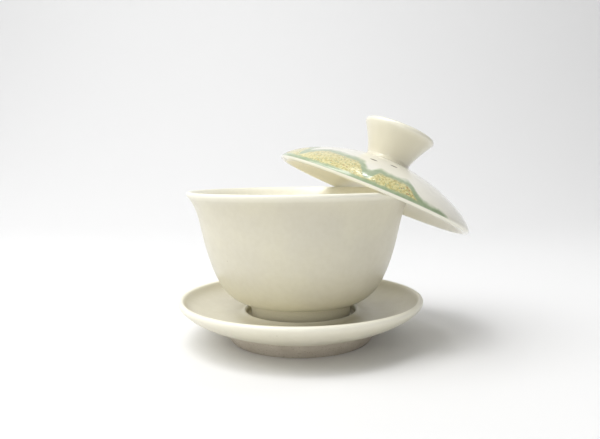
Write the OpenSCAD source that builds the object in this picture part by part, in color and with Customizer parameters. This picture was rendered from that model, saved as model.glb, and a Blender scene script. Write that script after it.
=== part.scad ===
// Gaiwan: a flared tea bowl on a raised saucer, with its domed lid hooked over the bowl's lip.
// Millimetres. +Z is up and the saucer's foot stands on z = 0. The bowl's axis is the Z axis.
// The lid leans down towards +X, and the front is -Y.

/* [Bowl] */
// Diameter over the lip
bowl_d = 100; // [84:0.5:125]
// Height from the foot to the lip
bowl_h = 56.7; // [46:0.1:72]
// Diameter where the straight wall meets the flare
neck_d = 88.8; // [74:0.2:110]
// Distance from the lip down to the neck
neck_drop = 14.9; // [8:0.1:20]
// Slope of the wall at the neck, from upright
wall_lean = 11.5; // [4:0.5:20]
// Slope of the lip, from upright
flare_lean = 40; // [20:1:55]
// Thickness of the lip
bowl_lip_w = 2.2; // [1.6:0.1:3]
// Thickness of the wall at the base
bowl_base_w = 3.4; // [2.4:0.1:5]
// Width of the rounded belly beside the foot
belly_reach = 13.3; // [8:0.1:17]

/* [Bowl foot ring] */
// Outer diameter where the ring meets the bowl
bowl_foot_d = 45.6; // [34:0.2:56]
// Height of the ring
bowl_foot_h = 7; // [4:0.1:10]
// Thickness of the ring
bowl_foot_w = 2.9; // [2:0.1:5]
// How far the ring tapers inwards on its way down
bowl_foot_taper = 0.5; // [0:0.1:3]

/* [Saucer] */
// Diameter over the lip
saucer_d = 109.4; // [96:0.2:136]
// Height from the table to the lip
saucer_h = 19.3; // [16:0.1:26]
// Slope of the lip, from upright
saucer_lean = 18; // [8:1:30]
// Thickness of the lip
saucer_lip_w = 2.6; // [1.8:0.1:3.6]
// Thickness of the floor under the bowl
floor_w = 3.5; // [2.5:0.1:5]
// Height of the trough between the lip and the ridge, above the floor's underside
trough_w = 5; // [3.4:0.1:5.6]

/* [Saucer well] */
// Gap around the bowl's foot, on each side
well_gap = 2; // [0.6:0.1:4]
// Depth of the well below the ridge
well_depth = 2.9; // [1.6:0.1:4.5]
// Width of the ridge's round top
ridge_w = 1.8; // [1:0.1:3]
// Width of the ridge's outer slope
ridge_slope = 7; // [4:0.1:9]

/* [Saucer foot ring] */
// Outer diameter where the ring meets the saucer
saucer_foot_d = 72.2; // [60:0.2:80]
// Height of the ring
saucer_foot_h = 6.7; // [4:0.1:10]
// Thickness of the ring
saucer_foot_w = 4; // [2.5:0.1:6]
// How far the ring tapers inwards on its way down
saucer_foot_taper = 4.3; // [0:0.1:8]

/* [Lid] */
// How far inside the bowl's lip the lid's edge comes, on each side
lid_inset = 4.6; // [3.5:0.05:7]
// Height of the dome up to the knob's seat
dome_h = 17.3; // [12:0.1:24]
// Slope of the lid's edge, from upright
edge_lean = 36; // [20:1:50]
// Thickness of the edge
lid_lip_w = 2.4; // [1.8:0.1:3]
// Thickness at the crown
crown_w = 3.3; // [2.6:0.1:5]

/* [Lid knob] */
// Diameter at the seat
knob_base_d = 19.4; // [14:0.2:24]
// Diameter over the flared top
knob_d = 32.8; // [26:0.2:40]
// Height above the dome
knob_h = 16.2; // [12:0.1:22]
// Slope of the flared top, from upright
knob_lean = 34; // [10:1:45]
// Thickness of the top's edge
knob_lip_w = 3; // [1.6:0.1:3.6]
// Depth of the hollow in the top
knob_hollow = 11.5; // [6:0.1:14]

/* [Resting place of the lid] */
// Distance from the bowl's axis to the middle of the lid's edge
lid_x = 33.1; // [20:0.05:45]
// Distance from the bowl's axis back to the middle of the lid's edge
lid_y = 4.9; // [-6:0.1:6]
// Lean of the lid towards +X
lid_tilt = 23.3; // [0:0.1:40]
// Lift of the lid's front edge
lid_front_lift = 3.6; // [0:0.1:10]
// Gap left where the lid lies on the bowl's lip
rest_gap = 0.15; // [0.05:0.05:0.5]

/* [Hidden] */
$fn = 96;

glaze = "#dcd8ca";
bare_clay = "#9c9483";

// Radius that rounds the foot rings' edges
foot_round = 0.7;
// Radius in the corner of the saucer's well
well_fillet = 0.8;

bowl_foot_r = bowl_foot_d / 2;
saucer_foot_r = saucer_foot_d / 2;
lid_r = bowl_d / 2 - lid_inset;
knob_base_r = knob_base_d / 2;

// The bowl stands on the well's floor
well_z = saucer_foot_h + floor_w;
well_r = bowl_foot_r + well_gap;
ridge_z = well_z + well_depth;
bowl_z = well_z;

// Unit vector at angle a from +X, and one that leans by a from upright
function ray(a) = [cos(a), sin(a)];
function up(a) = [sin(a), cos(a)];

// n + 1 points along the cubic curve from a to d with handles b and c
function curve(a, b, c, d, n = 12) = [
    for (i = [0:n]) let (t = i / n, s = 1 - t)
        s * s * s * a + 3 * s * s * t * b + 3 * s * t * t * c + t * t * t * d
];

// Points on the arc about c from angle a0 to a1
function arc(c, r, a0, a1, n = 6) = [for (i = [0:n]) c + r * ray(a0 + (a1 - a0) * i / n)];

// The same points, from last to first, and with the first left out
function reversed(p) = [for (i = [len(p) - 1:-1:0]) p[i]];
function after(p) = [for (i = [1:len(p) - 1]) p[i]];

// The left-hand parallel of an outline, w0 away at its start and w1 away at its end
function inset(p, w0, w1) = [
    for (i = [0:len(p) - 1])
        let (
            e = len(p) - 1,
            d = p[min(i + 1, e)] - p[max(i - 1, 0)],
            w = w0 + (w1 - w0) * i / e
        )
        p[i] + w * [-d.y, d.x] / norm(d)
];

// ---- Bowl, with its foot on z = 0 ----

bowl_lip_c = [(bowl_d - bowl_lip_w) / 2, bowl_h - bowl_lip_w / 2];
bowl_lip_out = bowl_lip_c + bowl_lip_w / 2 * ray(-flare_lean);
neck = [neck_d / 2, bowl_h - neck_drop];
wall_handle = (neck.y - bowl_foot_h) / 2;

bowl_outside = concat(
    curve(
        [bowl_foot_r, bowl_foot_h],
        [bowl_foot_r + belly_reach, bowl_foot_h],
        neck - wall_handle * up(wall_lean),
        neck,
        16
    ),
    after(curve(
        neck,
        neck + neck_drop / 3 * up(wall_lean),
        bowl_lip_out - neck_drop / 3 * up(flare_lean),
        bowl_lip_out,
        8
    ))
);
bowl_inside = inset(bowl_outside, bowl_base_w, bowl_lip_w);
bowl_floor = [0, bowl_foot_h + bowl_base_w - 0.4];

bowl_outline = concat(
    [[0, bowl_foot_h]],
    bowl_outside,
    after(arc(bowl_lip_c, bowl_lip_w / 2, -flare_lean, 180 - flare_lean)),
    after(reversed(bowl_inside)),
    after(curve(
        bowl_inside[0],
        bowl_inside[0] - [bowl_foot_r / 3, 0],
        bowl_floor + [bowl_foot_r / 2, 0],
        bowl_floor,
        6
    ))
);

// ---- Foot rings ----

// Ring whose top face has radius r and that tapers inwards by taper, with rounded lower edges
function foot_outline(r, h, w, taper) =
    let (
        lean = atan2(taper, h),
        r_out = r - taper - foot_round,
        r_in = r - taper - w + foot_round
    )
    concat(
        [[r - w, h]],
        arc([r_in, foot_round], foot_round, 180, 270, 4),
        arc([r_out, foot_round], foot_round, -90, -lean, 4),
        [[r, h]]
    );

// ---- Saucer ----

saucer_lip_c = [(saucer_d - saucer_lip_w) / 2, saucer_h - saucer_lip_w / 2];
saucer_lip_out = saucer_lip_c + saucer_lip_w / 2 * ray(-saucer_lean);
saucer_lip_in = saucer_lip_c - saucer_lip_w / 2 * ray(-saucer_lean);
saucer_rise = saucer_lip_out - [saucer_foot_r, saucer_foot_h];
ridge_c = [well_r + ridge_w / 2, ridge_z - ridge_w / 2];
trough = [ridge_c.x + ridge_slope, saucer_foot_h + trough_w];

saucer_outline = concat(
    [[0, saucer_foot_h]],
    curve(
        [saucer_foot_r, saucer_foot_h],
        [saucer_foot_r, saucer_foot_h] + [saucer_rise.x * 0.4, saucer_rise.y * 0.18],
        saucer_lip_out - saucer_rise.y * 0.38 * up(saucer_lean),
        saucer_lip_out,
        14
    ),
    after(arc(saucer_lip_c, saucer_lip_w / 2, -saucer_lean, 180 - saucer_lean)),
    after(curve(
        saucer_lip_in,
        saucer_lip_in - saucer_rise.y * 0.34 * up(saucer_lean),
        trough + [saucer_rise.x / 2, 0.4],
        trough,
        12
    )),
    after(curve(
        trough,
        trough - [ridge_slope * 0.45, 0],
        ridge_c + ridge_w / 2 * ray(60) + ridge_slope * 0.3 * ray(-30),
        ridge_c + ridge_w / 2 * ray(60),
        8
    )),
    after(arc(ridge_c, ridge_w / 2, 60, 180)),
    arc([well_r - well_fillet, well_z + well_fillet], well_fillet, 0, -90, 4),
    [[0, well_z]]
);

// ---- Lid, with its edge on z = 0 ----

lid_lip_c = [lid_r - lid_lip_w / 2, lid_lip_w / 2];
lid_lip_out = lid_lip_c + lid_lip_w / 2 * ray(edge_lean);
seat = [knob_base_r + 0.3, dome_h];
dome_handle = (lid_r - seat.x) * 0.29;

lid_outside = curve(
    lid_lip_out,
    lid_lip_out + dome_handle * up(-edge_lean),
    seat + dome_handle * ray(-6),
    seat,
    18
);
lid_inside = inset(lid_outside, lid_lip_w, crown_w);
lid_crown = [0, dome_h - crown_w + 0.2];

// The lid's underside from the middle out to the lowest point of its edge
lid_under = concat(
    [lid_crown],
    reversed(lid_inside),
    after(arc(lid_lip_c, lid_lip_w / 2, 180 + edge_lean, 360 + edge_lean, 10))
);
lid_outline = concat(lid_under, after(lid_outside), [[0, dome_h]]);

// ---- Knob, with its seat on z = 0 ----

knob_lip_c = [(knob_d - knob_lip_w) / 2, knob_h - knob_lip_w / 2];
knob_lip_out = knob_lip_c + knob_lip_w / 2 * ray(-knob_lean);
knob_lip_in = knob_lip_c - knob_lip_w / 2 * ray(-knob_lean);
knob_floor = [0, knob_h - knob_hollow];

knob_outline = concat(
    [[0, 0]],
    curve(
        [knob_base_r, 0],
        [knob_base_r, 0] + knob_h * 0.29 * up(13),
        knob_lip_out - knob_h * 0.28 * up(knob_lean),
        knob_lip_out,
        12
    ),
    after(arc(knob_lip_c, knob_lip_w / 2, -knob_lean, 180 - knob_lean)),
    after(curve(
        knob_lip_in,
        knob_lip_in - knob_hollow * 0.5 * up(knob_lean),
        knob_floor + [knob_base_r * 0.62, 0.2],
        knob_floor,
        10
    ))
);

// ---- Where the lid comes to rest on the bowl ----

// Centre line of the bowl's lip, as points every step degrees
function lip_ring(step) = [
    for (a = [-150:step:150])
        [bowl_lip_c.x * cos(a), bowl_lip_c.x * sin(a), bowl_z + bowl_lip_c.y]
];

// Radius and height of point p in the lid's own frame, with the lid's edge centred at height z
function in_lid(p, z) =
    let (
        d = p - [lid_x, lid_y, z],
        y = d.y * cos(lid_front_lift) - d.z * sin(lid_front_lift),
        h = d.y * sin(lid_front_lift) + d.z * cos(lid_front_lift)
    )
    [norm([d.x * cos(lid_tilt) - h * sin(lid_tilt), y]), d.x * sin(lid_tilt) + h * cos(lid_tilt)];

// Distance from point p to the straight line between a and b
function line_gap(p, a, b) =
    let (u = b - a, t = max(0, min(1, (p - a) * u / (u * u))))
    norm(p - a - t * u);

// Distance from the lip's surface to the lid's underside
function lid_gap(z, step) =
    min([
        for (p = lip_ring(step)) let (q = in_lid(p, z))
            min([for (i = [1:len(lid_under) - 1]) line_gap(q, lid_under[i - 1], lid_under[i])])
    ]) - bowl_lip_w / 2;

// The lid comes down by what is left of the gap, n times
function settle(z, step, n) =
    n == 0 ? z : settle(z - lid_gap(z, step) + rest_gap, step, n - 1);

lid_z = settle(settle(bowl_z + bowl_h + dome_h, 6, 24), 1, 8);

module on_lid() {
    translate([lid_x, lid_y, lid_z])
        rotate([-lid_front_lift, 0, 0])
            rotate([0, lid_tilt, 0])
                children();
}

// ---- Pieces ----

module saucer() {
    color(glaze)
        rotate_extrude() polygon(saucer_outline);
}

module saucer_foot_ring() {
    color(bare_clay)
        rotate_extrude()
            polygon(foot_outline(saucer_foot_r, saucer_foot_h, saucer_foot_w, saucer_foot_taper));
}

module bowl() {
    color(glaze)
        translate([0, 0, bowl_z])
            rotate_extrude() polygon(bowl_outline);
}

module bowl_foot_ring() {
    color(bare_clay)
        translate([0, 0, bowl_z])
            rotate_extrude()
                polygon(foot_outline(bowl_foot_r, bowl_foot_h, bowl_foot_w, bowl_foot_taper));
}

module lid() {
    color(glaze)
        on_lid() rotate_extrude() polygon(lid_outline);
}

module lid_knob() {
    color(glaze)
        on_lid() translate([0, 0, dome_h]) rotate_extrude() polygon(knob_outline);
}

saucer();
saucer_foot_ring();
bowl();
bowl_foot_ring();
lid();
lid_knob();
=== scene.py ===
import math

import bmesh
import bpy
import numpy as np
from mathutils import Matrix, Vector


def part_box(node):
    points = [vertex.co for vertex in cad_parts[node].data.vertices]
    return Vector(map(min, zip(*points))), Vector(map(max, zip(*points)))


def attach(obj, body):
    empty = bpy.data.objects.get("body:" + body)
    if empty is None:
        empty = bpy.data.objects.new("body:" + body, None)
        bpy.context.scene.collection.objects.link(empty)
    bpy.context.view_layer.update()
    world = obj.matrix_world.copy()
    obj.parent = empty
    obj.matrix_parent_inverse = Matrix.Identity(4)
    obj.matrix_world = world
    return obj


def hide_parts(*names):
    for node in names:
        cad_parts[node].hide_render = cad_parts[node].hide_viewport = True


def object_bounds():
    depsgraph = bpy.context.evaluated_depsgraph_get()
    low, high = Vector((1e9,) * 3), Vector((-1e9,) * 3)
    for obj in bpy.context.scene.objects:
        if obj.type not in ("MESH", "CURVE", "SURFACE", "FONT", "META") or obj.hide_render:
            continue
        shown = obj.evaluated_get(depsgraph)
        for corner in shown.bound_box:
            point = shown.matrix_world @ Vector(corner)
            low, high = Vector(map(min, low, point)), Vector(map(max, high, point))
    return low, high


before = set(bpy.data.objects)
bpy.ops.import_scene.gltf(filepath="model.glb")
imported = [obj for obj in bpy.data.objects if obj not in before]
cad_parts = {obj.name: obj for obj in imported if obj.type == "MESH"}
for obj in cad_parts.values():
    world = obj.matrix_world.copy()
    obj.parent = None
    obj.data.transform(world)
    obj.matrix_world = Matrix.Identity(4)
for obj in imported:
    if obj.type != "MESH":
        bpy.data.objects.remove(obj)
CAD_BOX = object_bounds()

bl_info = {
    "name": "Gaiwan",
    "version": (1, 0, 0),
    "blender": (4, 5, 0),
    "location": "View3D > Sidebar > Gaiwan",
    "description": "Turns, glazes and paints a lidded tea bowl on its saucer",
    "category": "Add Mesh",
}

MM = 0.001

# Turn of the outline, in radians, that fully marks a lip, painted lighter for thin glaze and a highlight, and
# a corner, painted darker for pooling glaze and shade
LIP_TURN = 2.2
CORNER_TURN = 1.2

# Turn of a corner, in radians, past which the sponge softens it
SHARP_CORNER = math.radians(32)

# Refractive index of the glass in a glaze, and near enough that of fired clay and of paper
GLASS_IOR = 1.52

# Section of the roll of glaze above a foot ring: corners round it, and its radius and how far its
# middle is set in from the ring's outside, as shares of its thickness
ROLL_CORNERS = 10
ROLL_RADIUS = 0.6
ROLL_INSET = 0.5

# Hollow section of the slip bead, as shares of its reach from the knob's foot
SLIP_SECTION = ((-0.2, -0.12), (1.0, -0.14), (0.5, 0.1), (0.2, 0.42), (0.06, 0.95), (-0.2, 1.0))

# Each painted panel is a row of round lobes that ends in low tails along the rim:
# (angle about the lid's axis, half width, share of the full height), angles in degrees
LOBES = (
    (-67, 12, 0.28),
    (-89, 13, 0.8),
    (-126, 21.5, 1.0),
    (-163, 13, 0.95),
    (16, 12, 0.28),
    (38, 13, 0.8),
    (75, 21.5, 1.0),
    (112, 14, 0.9),
    (131, 9, 0.24),
)
# Power that makes a lobe flat on top and steep at its sides
LOBE_POWER = 8
# Distance of the panels from the lid's axis, where the outline's width is measured
PANEL_RADIUS = 38 * MM

# Dark dabs of the brush above the panels: (angle in degrees, distance from the axis in millimetres)
DABS = ((-107, 28.6), (-89, 26.3), (55, 28.0), (90, 27.0))
# Half of a dab's length and half of its width, in millimetres
DAB_REACH = (1.9, 0.95)

# Brightness of the room's light on its window side and on the side away from it, as shares of its strength
WINDOW_SIDE = 1.3
FAR_SIDE = 0.4


def srgb(code):
    """Linear RGBA of an sRGB hex colour such as "#DCD8CA"."""
    parts = [int(code[i : i + 2], 16) / 255 for i in (1, 3, 5)]
    linear = [c / 12.92 if c <= 0.04045 else ((c + 0.055) / 1.055) ** 2.4 for c in parts]
    return (*linear, 1.0)


def tint(name, description, code):
    """A colour that is given as sRGB hex and kept linear."""
    return bpy.props.FloatVectorProperty(
        name=name, description=description, default=srgb(code), size=4, subtype="COLOR", min=0, max=1
    )


def length(name, description, mm):
    """A length that is given in millimetres and kept in metres."""
    return bpy.props.FloatProperty(
        name=name, description=description, default=mm * MM, subtype="DISTANCE", unit="LENGTH", precision=5
    )


def angle(name, description, degrees):
    """An angle that is given in degrees and kept in radians."""
    return bpy.props.FloatProperty(
        name=name, description=description, default=math.radians(degrees), subtype="ANGLE", unit="ROTATION"
    )


def power(name, description, strength):
    """The strength of a light, never below nothing."""
    return bpy.props.FloatProperty(name=name, description=description, default=strength, min=0)


# ---------------------------------------------------------------- settings


class GaiwanTurning(bpy.types.PropertyGroup):
    """Sizes of the turned pieces that the clay and the glaze add to the plain solids."""

    steps: bpy.props.IntProperty(
        name="Steps", description="Facets round each turned piece", default=176, min=48, max=256
    )
    arris: length("Arris", "Rounding of corners where the sponge softened the clay", 0.35)
    # The glaze run also spreads the painted highlight on lips and the painted shade in corners
    glaze_run: length("Glaze run", "Distance over which glaze thins at a lip or pools in a corner", 1.3)
    waver: length("Waver", "How far the hand-held rim wavers below true", 0.12)
    slip_bead: length("Slip bead", "Width of the bead of slip where the knob is luted on", 2.1)
    glaze_roll: length("Glaze roll", "Thickness of the roll where glaze stops above a foot ring", 0.45)


class GaiwanGlaze(bpy.types.PropertyGroup):
    """Colours of the glaze and of the clay under it."""

    ivory: tint("Ivory glaze", "Body of the bowl and the saucer", "#DFDAC4")
    ivory_shade: tint("Shaded ivory", "Cooler clouds in the ivory", "#DAD5C2")
    # Lips are painted this lighter colour: thin glaze with a painted highlight
    lip_and_highlight: tint("Lip", "Glaze worn thin over an edge", "#F8F5E4")
    # Corners are painted this darker colour: pooling glaze with painted shade; it also tints the random
    # mottle
    pooled_and_shade: tint("Pooled glaze", "Thick glaze in corners", "#BDB493")
    # Painted light: a paler, warmer copy of the ivory, painted inside the bowl and under the lid to stand for
    # the light there
    lit_lining: tint("Lining", "Inside of the bowl and under the lid", "#FAF6E4")
    speck: tint("Speck", "Iron specks that burn through the glaze", "#8E7B57")
    # The saucer's foot ring is this taupe all over, darker and greyer than the ivory glaze
    clay: tint("Clay", "Bare fired clay of the foot rings", "#CBC2B3")
    clay_fleck: tint("Clay fleck", "Darker grit in the clay", "#A0947F")


class GaiwanPaint(bpy.types.PropertyGroup):
    """The painted panels on the lid. Angles are about the lid's axis, heights above its edge."""

    cream: tint("Cream glaze", "Ground of the lid", "#EEEBDF")
    knob: tint("Knob glaze", "Warmer cream of the knob", "#E0DAC3")
    celadon: tint("Celadon", "Rim line and outline of the panels", "#97A985")
    celadon_pale: tint("Thin celadon", "Celadon where it runs out over the cream", "#BBC5A6")
    straw: tint("Straw", "Light ground of the panels", "#DDD59C")
    ochre: tint("Ochre", "Darker mottling of the panels", "#B7AA66")
    rust: tint("Rust", "Rust-red grains in the panels", "#A8623F")
    brush: tint("Brush", "Dark dabs of the brush above the panels", "#3A362E")
    lobe_height: length("Lobe height", "Height of a panel's outline above the rim line", 10.3)
    rim_line: length("Rim line", "Height where the rim line starts above the lid's edge", 0.4)
    rim_width: length("Rim line width", "Width of the celadon rim line below a panel", 2.3)
    outline: length("Outline", "Width of the celadon outline round a panel", 1.7)


class GaiwanStudio(bpy.types.PropertyGroup):
    """Camera and lights."""

    distance: length("Camera distance", "From the bowl's axis to the camera, level", 251.5)
    height: length("Camera height", "Above the table", 75.5)
    down: angle("Look down", "Tilt of the camera below level", 5.0)
    roll: angle("Roll", "Turn of the camera about its view", 0.525)
    lens: bpy.props.FloatProperty(
        name="Lens",
        description="Focal length in millimetres on a 36 mm sensor",
        default=33.57,
        min=20,
        max=120,
    )
    floor: tint("Table", "Matt paper sweep", "#EDEDED")
    key_power: power("Key light", "Watts of the large lamp at the upper left", 6.0)
    fill_power: power("Fill light", "Watts of the small lamp in front", 0.5)
    backdrop_power: power("Backdrop light", "Watts of the lamp over the backdrop", 6.5)
    top_power: power("Top light", "Watts of the small lamp overhead", 0.5)
    sky: power("Room light", "Strength of the light that the room gives all round", 0.6)


# ---------------------------------------------------------------- turning


def turning_frame(node):
    """Place of a turned piece: its axis as local +Z, and its lowest point on that axis as the origin.

    The normals of a turned surface spread evenly round its axis, so that axis is roughly the one
    direction in which their spread differs from the other two. The widest ring of points, a true
    circle square to the axis, then gives it exactly.
    """
    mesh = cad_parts[node].data
    points = np.unique(np.array([v.co for v in mesh.vertices]).round(8), axis=0)
    normals = np.array([p.normal for p in mesh.polygons], float)
    areas = np.array([p.area for p in mesh.polygons], float)
    centres = np.array([p.center for p in mesh.polygons], float)
    spread, directions = np.linalg.eigh((normals * areas[:, None]).T @ normals)
    apart = [abs(spread[i] - spread[i - 1]) + abs(spread[i] - spread[i - 2]) for i in range(3)]
    odd_one = int(np.argmax(apart))
    axis = directions[:, odd_one]
    middle = (centres * areas[:, None]).sum(0) / areas.sum()
    along = (points - middle) @ axis
    out = np.linalg.norm(points - middle - np.outer(along, axis), axis=1)
    widest = int(np.argmax(out))
    ring = points[(abs(along - along[widest]) < 0.1 * MM) & (abs(out - out[widest]) < 0.05 * MM)]
    middle = ring.mean(0)
    axis = Vector(np.linalg.svd(ring - middle)[2][2])
    if axis.z < 0:
        axis.negate()
    origin = Vector(middle)
    origin += axis * (min(v.co.dot(axis) for v in mesh.vertices) - origin.dot(axis))
    side = (Vector((1, 0, 0)) - axis * axis.x).normalized()
    rotation = Matrix((side, axis.cross(side), axis)).transposed()
    return Matrix.Translation(origin) @ rotation.to_4x4()


def turned_outline(node, place):
    """The outline that a CAD piece was turned from, as a bmesh wire in the XZ plane.

    Every point swings round the axis into one half plane, where each ring of points
    falls onto a single corner of the outline.
    """
    bm = bmesh.new()
    bm.from_mesh(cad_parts[node].data)
    bmesh.ops.transform(bm, matrix=place.inverted(), verts=bm.verts)
    for v in bm.verts:
        v.co = (math.hypot(v.co.x, v.co.y), 0, v.co.z)
    bmesh.ops.remove_doubles(bm, verts=bm.verts, dist=0.01 * MM)
    bmesh.ops.delete(bm, geom=bm.faces, context="FACES_ONLY")
    for v in [v for v in bm.verts if len(v.link_edges) == 1 and v.co.x > MM]:
        centre = bmesh.ops.extrude_vert_indiv(bm, verts=[v])["verts"][0]
        centre.co = (0, 0, v.co.z)
    for v in bm.verts:
        if v.co.x < 0.02 * MM:
            v.co.x = 0
    return bm


def walk(bm):
    """The outline's points in order, from the axis up the outside, or round a ring."""
    ends = [v for v in bm.verts if len(v.link_edges) == 1]
    start = min(ends or bm.verts, key=lambda v: (v.co.z, v.co.x))
    path, edge = [start], None
    while True:
        forward = [e for e in path[-1].link_edges if e is not edge]
        if edge is None and not ends:
            forward = [max(forward, key=lambda e: e.other_vert(start).co.x)]
        if not forward:
            return path
        edge = forward[0]
        following = edge.other_vert(path[-1])
        if following is start:
            return path
        path.append(following)
        if len(path) > len(bm.verts):
            raise RuntimeError("the outline crosses itself")


def mark_glaze(bm, run):
    """Writes on each point how thin or how pooled the glaze lies there, from 0 to 1.

    Melted glaze creeps off outward corners and gathers in inward ones, over about the distance run.
    The materials also use these two marks for a painted highlight on outward corners and painted shade in
    inward ones.
    The third mark tells the two sides of the piece apart: it goes from 0 to 1 across the widest edge.
    """
    thin = bm.verts.layers.float.new("glaze_thinning_and_highlight")
    pooled_and_shade = bm.verts.layers.float.new("glaze_pooling_and_shade")
    past_edge = bm.verts.layers.float.new("past_edge")
    path = walk(bm)
    points = np.array([(v.co.x, v.co.z) for v in path])
    closed = not any(len(v.link_edges) == 1 for v in bm.verts)
    if closed:
        before, after = np.roll(points, 1, 0), np.roll(points, -1, 0)
    else:
        before = np.vstack([points[:1] - (MM, 0), points[:-1]])
        after = np.vstack([points[1:], points[-1:] - (MM, 0)])
    a, b = points - before, after - points
    turn = np.arctan2(a[:, 0] * b[:, 1] - a[:, 1] * b[:, 0], (a * b).sum(1))
    along = np.concatenate([[0], np.cumsum(np.linalg.norm(np.diff(points, axis=0), axis=1))])
    weight = np.exp(-(((along[:, None] - along[None, :]) / run) ** 2) / 2)
    outward, inward = weight @ np.maximum(turn, 0), weight @ np.maximum(-turn, 0)
    edge = along[int(np.argmax(points[:, 0]))]
    for i, v in enumerate(path):
        # The thinning mark also stands for a painted highlight, the pooling mark for painted shade
        v[thin] = min(1.0, outward[i] / LIP_TURN)
        v[pooled_and_shade] = min(1.0, inward[i] / CORNER_TURN)
        v[past_edge] = min(1.0, max(0.0, 0.5 + (along[i] - edge) / (2 * run)))


def turn_on_wheel(bm, steps):
    """Spins the outline once round the axis into a closed skin that faces outwards."""
    bmesh.ops.spin(
        bm,
        geom=list(bm.verts) + list(bm.edges),
        cent=(0, 0, 0),
        axis=(0, 0, 1),
        angle=2 * math.pi,
        steps=steps,
        use_merge=True,
    )
    bmesh.ops.remove_doubles(bm, verts=bm.verts, dist=0.002 * MM)
    bmesh.ops.recalc_face_normals(bm, faces=bm.faces)


def soften_arris(bm, width):
    """Rounds every corner that turns by more than SHARP_CORNER."""
    sharp = [e for e in bm.edges if len(e.link_faces) == 2 and e.calc_face_angle() > SHARP_CORNER]
    if sharp:
        bmesh.ops.bevel(
            bm,
            geom=sharp,
            offset=width,
            affect="EDGES",
            segments=3,
            profile=0.5,
            material=-1,
            clamp_overlap=True,
        )


def waver_rim(bm, depth, phase):
    """Lets the top of a hand-finished piece dip a little, most at the rim and not at all at the foot."""
    top = max(v.co.z for v in bm.verts)
    low = min(v.co.z for v in bm.verts)
    for v in bm.verts:
        share = ((v.co.z - low) / (top - low)) ** 3
        turn = math.atan2(v.co.y, v.co.x)
        dip = 0.5 + 0.3 * math.sin(2 * turn + phase) + 0.2 * math.sin(3 * turn + 2.3 * phase)
        v.co.z -= depth * share * dip


def finish_piece(bm, name, place, body, material, nodes=()):
    """Puts the finished skin in its place as an object that rides on a body."""
    here = bm.verts.layers.float_vector.new("on_wheel")
    for v in bm.verts:
        v[here] = v.co / MM
    for face in bm.faces:
        face.smooth = True
    bmesh.ops.transform(bm, matrix=place, verts=bm.verts)
    mesh = bpy.data.meshes.new(name)
    bm.to_mesh(mesh)
    bm.free()
    mesh.materials.append(material)
    piece = bpy.data.objects.new(name, mesh)
    bpy.context.scene.collection.objects.link(piece)
    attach(piece, body)
    if nodes:
        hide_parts(*nodes)
    return piece


def turned_piece(node, place, waver=0.0, phase=0.0):
    """A CAD node's shape, turned again with fine facets, soft corners and marked glaze."""
    turning = bpy.context.scene.gaiwan_turning
    bm = turned_outline(node, place)
    mark_glaze(bm, turning.glaze_run)
    turn_on_wheel(bm, turning.steps)
    soften_arris(bm, turning.arris)
    if waver:
        waver_rim(bm, waver, phase)
    return bm


def spun_bead(points, steps):
    """A closed ring spun from a few corners of its section, in order."""
    bm = bmesh.new()
    corners = [bm.verts.new((x, 0, z)) for x, z in points]
    for a, b in zip(corners, corners[1:] + corners[:1]):
        bm.edges.new((a, b))
    turn_on_wheel(bm, steps)
    return bm


def circle_points(count):
    """Corners of a circle of radius one, in order."""
    return [(math.cos(2 * math.pi * i / count), math.sin(2 * math.pi * i / count)) for i in range(count)]


# ---------------------------------------------------------------- materials


def add(tree, kind, inputs=None, **settings):
    """Adds a node with its settings; inputs are values or sockets to link, by name or number."""
    node = tree.nodes.new(kind)
    for key, value in settings.items():
        setattr(node, key, value)
    for key, value in (inputs or {}).items():
        if isinstance(value, bpy.types.NodeSocket):
            tree.links.new(value, node.inputs[key])
        else:
            node.inputs[key].default_value = value
    return node


def new_material(name, roughness, coat, coat_roughness):
    """A principled material; returns its tree, its shader and the position on the wheel in millimetres."""
    material = bpy.data.materials.new(name)
    material.use_nodes = True
    tree = material.node_tree
    shader = tree.nodes["Principled BSDF"]
    shader.inputs["Roughness"].default_value = roughness
    shader.inputs["IOR"].default_value = GLASS_IOR
    shader.inputs["Coat Weight"].default_value = coat
    shader.inputs["Coat Roughness"].default_value = coat_roughness
    place = add(tree, "ShaderNodeAttribute", attribute_name="on_wheel").outputs["Vector"]
    return material, tree, shader, place


def mark(tree, name):
    """One of the marks that mark_glaze wrote on the piece, from 0 to 1."""
    return add(tree, "ShaderNodeAttribute", attribute_name=name).outputs["Fac"]


def grain(tree, place, size, detail=2.0, roughness=0.5):
    """Cloudy noise whose lumps are about size millimetres across."""
    noise = add(
        tree,
        "ShaderNodeTexNoise",
        {"Vector": place, "Scale": 1 / size, "Detail": detail, "Roughness": roughness},
    )
    return noise.outputs["Fac"]


def calc(tree, operation, a, b=0.0, c=0.0):
    """Result of one sum, from values or sockets."""
    return add(tree, "ShaderNodeMath", {0: a, 1: b, 2: c}, operation=operation).outputs[0]


def ramp(tree, value, low, high, to_low=0.0, to_high=1.0):
    """Smooth step from to_low to to_high as value goes from low to high."""
    step = add(
        tree,
        "ShaderNodeMapRange",
        {"Value": value, "From Min": low, "From Max": high, "To Min": to_low, "To Max": to_high},
        interpolation_type="SMOOTHSTEP",
    )
    return step.outputs["Result"]


def blend(tree, amount, a, b):
    """Colour a turning into colour b as amount goes from 0 to 1."""
    mix = add(tree, "ShaderNodeMix", {0: amount, 6: a, 7: b}, data_type="RGBA")
    return mix.outputs[2]


def relief(tree, shader, heights):
    """Adds (height, depth in millimetres) pairs up into one bump."""
    total = None
    for height, depth in heights:
        part = calc(tree, "MULTIPLY", height, depth)
        total = part if total is None else calc(tree, "ADD", total, part)
    bump = add(tree, "ShaderNodeBump", {"Height": total, "Distance": MM, "Strength": 1.0})
    tree.links.new(bump.outputs["Normal"], shader.inputs["Normal"])
    tree.links.new(bump.outputs["Normal"], shader.inputs["Coat Normal"])


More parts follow.
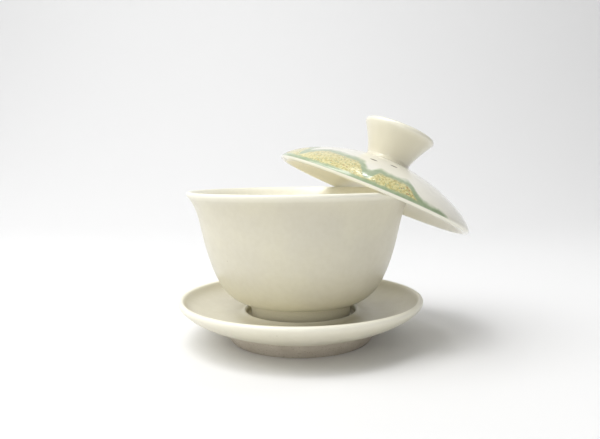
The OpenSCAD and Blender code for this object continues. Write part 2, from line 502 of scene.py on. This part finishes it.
def throwing_lines(tree, place, spacing):
    """Soft rings left by the fingers on the wheel, a little uneven in their spacing."""
    drift = grain(tree, place, 30, 1.0)
    z = add(tree, "ShaderNodeSeparateXYZ", {"Vector": place}).outputs["Z"]
    turns = calc(tree, "MULTIPLY_ADD", drift, 2.2, calc(tree, "DIVIDE", z, spacing))
    return calc(tree, "SINE", calc(tree, "MULTIPLY", turns, 2 * math.pi))


def satin_ivory_glaze(name, lit_inside=False):
    """Stoneware dipped in an ivory feldspar glaze and fired to a satin skin.

    To the eye it is a warm, cloudy ivory with a soft sheen, whiter on lips where the glaze ran thin and a
    highlight is painted, and duller and darker in corners where the glaze pools and shade is painted. A piece
    with light painted inside is paler and warmer inside its widest edge.
    """
    colours = bpy.context.scene.gaiwan_glaze
    material, tree, shader, place = new_material(name, 0.42, 0.35, 0.22)
    clouds = ramp(tree, grain(tree, place, 24, 3.0), 0.35, 0.65)
    colour = blend(tree, clouds, colours.ivory, colours.ivory_shade)
    # Painted light: past the widest edge the inside is painted the paler lining colour
    if lit_inside:
        colour = blend(tree, mark(tree, "past_edge"), colour, colours.lit_lining)
    mottle = ramp(tree, grain(tree, place, 2.2, 4.0), 0.3, 0.75, 0.0, 0.1)
    colour = blend(tree, mottle, colour, colours.pooled_and_shade)
    # Painted shade and pooling glaze darken inward corners; painted highlight and thin glaze lighten lips
    colour = blend(tree, calc(tree, "MULTIPLY", mark(tree, "glaze_pooling_and_shade"), 0.75), colour, colours.pooled_and_shade)
    colour = blend(tree, calc(tree, "MULTIPLY", mark(tree, "glaze_thinning_and_highlight"), 0.9), colour, colours.lip_and_highlight)
    colour = blend(tree, iron_specks(tree, place), colour, colours.speck)
    tree.links.new(colour, shader.inputs["Base Color"])
    sheen = ramp(tree, grain(tree, place, 6, 2.0), 0.3, 0.7, 0.36, 0.48)
    tree.links.new(sheen, shader.inputs["Roughness"])
    relief(
        tree,
        shader,
        [
            (grain(tree, place, 1.6, 2.0), 0.014),
            (throwing_lines(tree, place, 4.5), 0.012),
            (grain(tree, place, 9, 1.0), 0.04),
        ],
    )
    return material


def iron_specks(tree, place):
    """Rare faint dots of iron, up to half a millimetre across, where a cell's middle meets the surface."""
    cells = add(tree, "ShaderNodeTexVoronoi", {"Vector": place, "Scale": 1 / 7})
    rare = add(tree, "ShaderNodeSeparateColor", {"Color": cells.outputs["Color"]}).outputs[0]
    dot = ramp(tree, cells.outputs["Distance"], 0.02, 0.035, 0.55, 0.0)
    return calc(tree, "MULTIPLY", dot, ramp(tree, rare, 0.5, 0.6))


def taupe_foot_ring(name):
    """Stoneware foot ring, turned with a tool and coloured a taupe darker and greyer than the ivory glaze.

    To the eye it is dry and dull, with fine dark grit and the thin rings of the turning tool.
    """
    colours = bpy.context.scene.gaiwan_glaze
    material, tree, shader, place = new_material(name, 0.8, 0.0, 0.5)
    grit = ramp(tree, grain(tree, place, 0.7, 3.0, 0.7), 0.52, 0.72)
    patch = ramp(tree, grain(tree, place, 8, 2.0), 0.3, 0.7, 0.0, 0.3)
    colour = blend(tree, calc(tree, "MAXIMUM", grit, patch), colours.clay, colours.clay_fleck)
    tree.links.new(colour, shader.inputs["Base Color"])
    rings = throwing_lines(tree, place, 0.9)
    relief(tree, shader, [(grain(tree, place, 0.5, 3.0, 0.7), 0.05), (rings, 0.015)])
    return material


def washed_clay(name):
    """Stoneware foot with a thin wash of the ivory glaze wiped over it.

    To the eye it is nearly the bowl's ivory, drier and a little browner, with the clay's grit showing.
    """
    colours = bpy.context.scene.gaiwan_glaze
    material, tree, shader, place = new_material(name, 0.62, 0.1, 0.4)
    grit = ramp(tree, grain(tree, place, 0.7, 3.0, 0.7), 0.5, 0.75, 0.0, 0.35)
    colour = blend(tree, grit, colours.ivory, colours.clay)
    tree.links.new(colour, shader.inputs["Base Color"])
    rings = throwing_lines(tree, place, 0.9)
    relief(tree, shader, [(grain(tree, place, 0.6, 3.0), 0.03), (rings, 0.01)])
    return material


def cream_glaze(name):
    """Clear gloss over cream slip, fired to a glassy skin.

    To the eye it is a pale cream with sharp soft-box reflections and a faintly rippled surface.
    """
    colours, paint = bpy.context.scene.gaiwan_glaze, bpy.context.scene.gaiwan_paint
    material, tree, shader, place = new_material(name, 0.3, 0.7, 0.08)
    clouds = ramp(tree, grain(tree, place, 18, 2.0), 0.3, 0.7, 0.0, 0.5)
    colour = blend(tree, clouds, paint.knob, colours.ivory)
    # Painted shade and pooling glaze darken inward corners; painted highlight and thin glaze lighten lips
    colour = blend(tree, calc(tree, "MULTIPLY", mark(tree, "glaze_pooling_and_shade"), 0.6), colour, colours.pooled_and_shade)
    colour = blend(tree, calc(tree, "MULTIPLY", mark(tree, "glaze_thinning_and_highlight"), 0.8), colour, colours.lip_and_highlight)
    tree.links.new(colour, shader.inputs["Base Color"])
    relief(tree, shader, [(grain(tree, place, 2.0, 2.0), 0.012), (grain(tree, place, 8, 1.0), 0.04)])
    return material


def painted_lid_glaze(name):
    """The cream glaze of the lid, painted with celadon and straw enamels.

    To the eye a glassy celadon line runs round the lid's rim and swells into outlined lobes, filled
    with a mottled straw-yellow enamel full of ochre, green and rust grains.
    """
    colours, paint = bpy.context.scene.gaiwan_glaze, bpy.context.scene.gaiwan_paint
    material, tree, shader, place = new_material(name, 0.28, 0.8, 0.06)
    xyz = add(tree, "ShaderNodeSeparateXYZ", {"Vector": place})
    wobble = ramp(tree, grain(tree, place, 3.0, 3.0), 0.2, 0.8, -0.35, 0.35)
    height = calc(tree, "ADD", xyz.outputs["Z"], wobble)
    turn = calc(tree, "DEGREES", calc(tree, "ARCTAN2", xyz.outputs["Y"], xyz.outputs["X"]))

    base = paint.rim_line / MM
    outline = paint.outline / MM
    top = lobes(tree, turn, base, paint.lobe_height / MM, 0)
    # The panel's own lobes are lower and narrower, so that the outline round them keeps its width
    narrower = math.degrees(paint.outline / (2 * PANEL_RADIUS))
    inner_top = lobes(tree, turn, base - outline, paint.lobe_height / MM, narrower)
    below_top = calc(tree, "SUBTRACT", top, height)
    above_rim = calc(tree, "SUBTRACT", height, base)
    rim_top = paint.rim_width / MM
    outside = mark(tree, "past_edge")
    painted_side = ramp(tree, outside, 0.45, 0.6)

    green = calc(tree, "MULTIPLY", ramp(tree, below_top, -0.7, 0.8), ramp(tree, above_rim, -0.4, 0.5))
    green = calc(tree, "MULTIPLY", green, painted_side)
    panel = ramp(tree, calc(tree, "SUBTRACT", inner_top, height), -0.6, 0.7)
    panel = calc(tree, "MULTIPLY", panel, ramp(tree, above_rim, rim_top - 0.5, rim_top + 0.5))
    panel = calc(tree, "MULTIPLY", panel, painted_side)

    clouds = ramp(tree, grain(tree, place, 18, 2.0), 0.3, 0.7, 0.0, 0.4)
    ground = blend(tree, clouds, paint.cream, colours.lit_lining)
    # Painted light: under the lid the ground is painted the paler lining colour
    lit_underside = calc(tree, "SUBTRACT", 1.0, ramp(tree, outside, 0.2, 0.5))
    ground = blend(tree, lit_underside, ground, colours.lit_lining)
    # Painted shade and pooling glaze darken inward corners; painted highlight and thin glaze lighten lips
    ground = blend(tree, calc(tree, "MULTIPLY", mark(tree, "glaze_pooling_and_shade"), 0.6), ground, colours.pooled_and_shade)
    ground = blend(tree, calc(tree, "MULTIPLY", mark(tree, "glaze_thinning_and_highlight"), 0.85), ground, colours.lip_and_highlight)
    uneven = ramp(tree, grain(tree, place, 2.4, 3.0, 0.6), 0.35, 0.7, 0.0, 0.4)
    deep = calc(tree, "SUBTRACT", ramp(tree, below_top, 0.2, 1.3), uneven)
    celadon = blend(tree, calc(tree, "MAXIMUM", deep, 0.0), paint.celadon_pale, paint.celadon)
    colour = blend(tree, green, ground, celadon)
    colour = blend(tree, panel, colour, enamel_colour(tree, place))
    colour = blend(tree, brush_dabs(tree, xyz, turn), colour, paint.brush)
    tree.links.new(colour, shader.inputs["Base Color"])
    crumb = calc(tree, "MULTIPLY", panel, grain(tree, place, 0.9, 3.0))
    relief(tree, shader, [(grain(tree, place, 8, 1.0), 0.04), (green, 0.12), (crumb, 0.12)])
    return material


def lobes(tree, turn, base, height, narrower):
    """Height of the row of lobes at an angle, in millimetres above the lid's edge."""
    total = 0.0
    for centre, half, share in LOBES:
        off = calc(tree, "WRAP", calc(tree, "SUBTRACT", turn, centre), 180, -180)
        share_out = calc(tree, "ABSOLUTE", calc(tree, "DIVIDE", off, half - narrower))
        steep = calc(tree, "POWER", share_out, LOBE_POWER)
        total = calc(tree, "ADD", total, calc(tree, "DIVIDE", share, calc(tree, "ADD", steep, 1.0)))
    return calc(tree, "MULTIPLY_ADD", total, height, base)


def enamel_colour(tree, place):
    """Straw enamel broken up by ochre mottling, with celadon and rust grains up to 0.9 mm across."""
    paint = bpy.context.scene.gaiwan_paint
    mottle = ramp(tree, grain(tree, place, 1.0, 4.0, 0.65), 0.4, 0.66, 0.0, 0.95)
    colour = blend(tree, mottle, paint.straw, paint.ochre)
    grains = add(tree, "ShaderNodeTexVoronoi", {"Vector": place, "Scale": 1 / 0.9})
    picks = add(tree, "ShaderNodeSeparateColor", {"Color": grains.outputs["Color"]})
    dot = ramp(tree, grains.outputs["Distance"], 0.25, 0.5, 0.9, 0.0)
    green_grains = calc(tree, "MULTIPLY", dot, ramp(tree, picks.outputs[0], 0.72, 0.8))
    rust_grains = calc(tree, "MULTIPLY", dot, ramp(tree, picks.outputs[1], 0.93, 0.96))
    return blend(tree, rust_grains, blend(tree, green_grains, colour, paint.celadon), paint.rust)


def brush_dabs(tree, xyz, turn):
    """Small oval dabs that lie along circles about the lid's axis and fade out at their edges."""
    squares = [calc(tree, "MULTIPLY", xyz.outputs[k], xyz.outputs[k]) for k in ("X", "Y")]
    radius = calc(tree, "SQRT", calc(tree, "ADD", *squares))
    dabs = 0.0
    for centre, out in DABS:
        off = calc(tree, "WRAP", calc(tree, "SUBTRACT", turn, centre), 180, -180)
        round_axis = calc(tree, "MULTIPLY", off, math.radians(out))
        along = calc(tree, "ABSOLUTE", calc(tree, "DIVIDE", round_axis, DAB_REACH[0]))
        wide = calc(tree, "ABSOLUTE", calc(tree, "DIVIDE", calc(tree, "SUBTRACT", radius, out), DAB_REACH[1]))
        size = calc(tree, "ADD", calc(tree, "POWER", along, 2), calc(tree, "POWER", wide, 2))
        spot = calc(tree, "SUBTRACT", 1.0, ramp(tree, size, 0.45, 1.0))
        dabs = calc(tree, "MAXIMUM", dabs, spot)
    above_panels = ramp(tree, xyz.outputs["Z"], 11, 12)
    return calc(tree, "MULTIPLY", dabs, calc(tree, "MULTIPLY", mark(tree, "past_edge"), above_panels))


def matt_paper(name, colour):
    """Matt background paper: one flat colour with no sheen."""
    material, _, shader, _ = new_material(name, 0.9, 0.0, 0.5)
    shader.inputs["Base Color"].default_value = colour
    shader.inputs["Specular IOR Level"].default_value = 0.1
    return material


# ---------------------------------------------------------------- stage


def room_light(studio):
    """A plain room, bright on the window side at -X and dimmer towards +X."""
    world = bpy.data.worlds.new("room_light")
    world.use_nodes = True
    tree = world.node_tree
    direction = add(tree, "ShaderNodeTexCoord").outputs["Generated"]
    across = add(tree, "ShaderNodeSeparateXYZ", {"Vector": direction}).outputs["X"]
    strength = ramp(tree, across, -1.0, 1.0, WINDOW_SIDE * studio.sky, FAR_SIDE * studio.sky)
    tree.links.new(strength, tree.nodes["Background"].inputs["Strength"])
    tree.nodes["Background"].inputs["Color"].default_value = srgb("#FFFFFF")
    return world


def paper_sweep(studio):
    """A floor that curves up into a backdrop."""
    bm = bmesh.new()
    corners = [bm.verts.new((-2, y, z)) for y, z in ((-1.6, 0), (1.1, 0), (1.1, 2.2))]
    edges = [bm.edges.new(pair) for pair in zip(corners, corners[1:])]
    made = bmesh.ops.extrude_edge_only(bm, edges=edges)["geom"]
    far_side = [v for v in made if isinstance(v, bmesh.types.BMVert)]
    bmesh.ops.translate(bm, verts=far_side, vec=(4, 0, 0))
    fold = [e for e in bm.edges if len(e.link_faces) == 2]
    bmesh.ops.bevel(bm, geom=fold, offset=0.7, affect="EDGES", segments=24, profile=0.5, material=-1)
    for face in bm.faces:
        face.smooth = True
    stage_piece(bm, "paper_sweep", matt_paper("matt_white_paper", studio.floor))


def stage_piece(bm, name, material):
    """Puts a part of the stage in the scene."""
    mesh = bpy.data.meshes.new(name)
    bm.to_mesh(mesh)
    bm.free()
    mesh.materials.append(material)
    piece = bpy.data.objects.new(name, mesh)
    bpy.context.scene.collection.objects.link(piece)


def soft_box(name, target, offset, size, watts):
    """A square light at an offset from its target and turned towards it."""
    lamp = bpy.data.lights.new(name, "AREA")
    lamp.size = size
    lamp.energy = watts
    light = bpy.data.objects.new(name, lamp)
    light.location = target + offset
    light.rotation_euler = offset.to_track_quat("Z", "Y").to_euler()
    bpy.context.scene.collection.objects.link(light)


# ---------------------------------------------------------------- operators


class GAIWAN_OT_saucer(bpy.types.Operator):
    """Turns the saucer and dips it in ivory glaze"""

    bl_idname = "gaiwan.saucer"
    bl_label = "Saucer"

    def execute(self, context):
        place = turning_frame("saucer")
        bm = turned_piece("saucer", place)
        glaze = satin_ivory_glaze("ivory_glaze_saucer")
        finish_piece(bm, "turned_saucer", place, "saucer", glaze, ["saucer"])
        return {"FINISHED"}


class GAIWAN_OT_bowl(bpy.types.Operator):
    """Turns the bowl and glazes it inside and out"""

    bl_idname = "gaiwan.bowl"
    bl_label = "Bowl"

    def execute(self, context):
        place = turning_frame("bowl")
        bm = turned_piece("bowl", place, waver=context.scene.gaiwan_turning.waver, phase=0.6)
        glaze = satin_ivory_glaze("ivory_glaze_bowl", lit_inside=True)
        finish_piece(bm, "turned_bowl", place, "bowl", glaze, ["bowl"])
        return {"FINISHED"}


class GAIWAN_OT_foot_rings(bpy.types.Operator):
    """Turns both foot rings, with a roll of glaze where each joins its piece"""

    bl_idname = "gaiwan.foot_rings"
    bl_label = "Foot rings"

    def execute(self, context):
        turning = context.scene.gaiwan_turning
        roll = turning.glaze_roll
        for body in ("saucer", "bowl"):
            node = body + "_foot_ring"
            place = turning_frame(node)
            low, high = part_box(node)
            bm = turned_piece(node, place)
            skin = taupe_foot_ring("bare_clay_saucer") if body == "saucer" else washed_clay("washed_clay_bowl")
            finish_piece(bm, f"turned_{body}_foot", place, body, skin, [node])
            edge, top = high.x, high.z - low.z
            section = [
                (edge + roll * (ROLL_RADIUS * c - ROLL_INSET), top + roll * ROLL_RADIUS * s)
                for c, s in circle_points(ROLL_CORNERS)
            ]
            bead = spun_bead(section, turning.steps)
            glaze = satin_ivory_glaze("ivory_glaze_roll_" + body)
            finish_piece(bead, body + "_glaze_roll", place, body, glaze)
        return {"FINISHED"}


class GAIWAN_OT_lid(bpy.types.Operator):
    """Turns the lid and paints its panels"""

    bl_idname = "gaiwan.lid"
    bl_label = "Lid"

    def execute(self, context):
        place = turning_frame("lid")
        bm = turned_piece("lid", place)
        glaze = painted_lid_glaze("painted_glaze_lid")
        finish_piece(bm, "turned_lid", place, "lid", glaze, ["lid"])
        return {"FINISHED"}


class GAIWAN_OT_knob(bpy.types.Operator):
    """Turns the knob and lutes it to the lid with a bead of slip"""

    bl_idname = "gaiwan.knob"
    bl_label = "Knob"

    def execute(self, context):
        turning = context.scene.gaiwan_turning
        place = turning_frame("lid")
        bm = turned_piece("lid_knob", place)
        seat = min(v.co.z for v in bm.verts)
        foot = max(v.co.x for v in bm.verts if v.co.z < seat + 0.5 * MM)
        glaze = cream_glaze("cream_glaze_knob")
        finish_piece(bm, "turned_knob", place, "lid", glaze, ["lid_knob"])
        reach = turning.slip_bead
        section = [(foot + reach * x, seat + reach * z) for x, z in SLIP_SECTION]
        bead = spun_bead(section, turning.steps)
        finish_piece(bead, "knob_slip_bead", place, "lid", glaze)
        return {"FINISHED"}


class GAIWAN_OT_studio(bpy.types.Operator):
    """Sets the paper sweep, the soft lights and the camera"""

    bl_idname = "gaiwan.studio"
    bl_label = "Studio"

    def execute(self, context):
        scene, studio = context.scene, context.scene.gaiwan_studio
        paper_sweep(studio)
        middle = (CAD_BOX[0] + CAD_BOX[1]) / 2
        behind = Vector((-0.25, 0.35, 1.1))
        soft_box("backdrop_light", behind, Vector((0, -0.5, 0.35)), 0.6, studio.backdrop_power)
        soft_box("key_light", middle, Vector((-0.52, -0.2, 0.82)), 0.8, studio.key_power)
        soft_box("fill_light", middle, Vector((-0.15, -0.85, 0.12)), 0.12, studio.fill_power)
        soft_box("top_light", middle, Vector((0.2, 0.15, 0.77)), 0.12, studio.top_power)
        scene.world = room_light(studio)
        scene.view_settings.view_transform = "Standard"
        lens = bpy.data.cameras.new("camera")
        lens.sensor_width = 36
        lens.lens = studio.lens
        lens.clip_start = 0.01
        camera = bpy.data.objects.new("camera", lens)
        scene.collection.objects.link(camera)
        camera.matrix_world = (
            Matrix.Translation((0, -studio.distance, studio.height))
            @ Matrix.Rotation(math.radians(90) - studio.down, 4, "X")
            @ Matrix.Rotation(-studio.roll, 4, "Z")
        )
        scene.camera = camera
        return {"FINISHED"}


# ---------------------------------------------------------------- panel and add-on


class GAIWAN_PT_sidebar(bpy.types.Panel):
    """Lists the pieces and their settings"""

    bl_label = "Gaiwan"
    bl_idname = "GAIWAN_PT_sidebar"
    bl_space_type = "VIEW_3D"
    bl_region_type = "UI"
    bl_category = "Gaiwan"

    def draw(self, context):
        for group, _ in SETTINGS:
            box = self.layout.box()
            settings = getattr(context.scene, group)
            box.label(text=group.split("_")[1].title())
            for key in settings.bl_rna.properties.keys():
                if key not in ("rna_type", "name"):
                    box.prop(settings, key)
        for operator in OPERATORS:
            self.layout.operator(operator.bl_idname)


SETTINGS = (
    ("gaiwan_turning", GaiwanTurning),
    ("gaiwan_glaze", GaiwanGlaze),
    ("gaiwan_paint", GaiwanPaint),
    ("gaiwan_studio", GaiwanStudio),
)
OPERATORS = (
    GAIWAN_OT_saucer,
    GAIWAN_OT_bowl,
    GAIWAN_OT_foot_rings,
    GAIWAN_OT_lid,
    GAIWAN_OT_knob,
    GAIWAN_OT_studio,
)


def register():
    for name, group in SETTINGS:
        bpy.utils.register_class(group)
        setattr(bpy.types.Scene, name, bpy.props.PointerProperty(type=group))
    for cls in (*OPERATORS, GAIWAN_PT_sidebar):
        bpy.utils.register_class(cls)


def unregister():
    for cls in (GAIWAN_PT_sidebar, *reversed(OPERATORS)):
        bpy.utils.unregister_class(cls)
    for name, group in reversed(SETTINGS):
        delattr(bpy.types.Scene, name)
        bpy.utils.unregister_class(group)


def main():
    register()
    for operator in OPERATORS:
        group, name = operator.bl_idname.split(".")
        getattr(getattr(bpy.ops, group), name)()


if __name__ == "__main__":
    main()
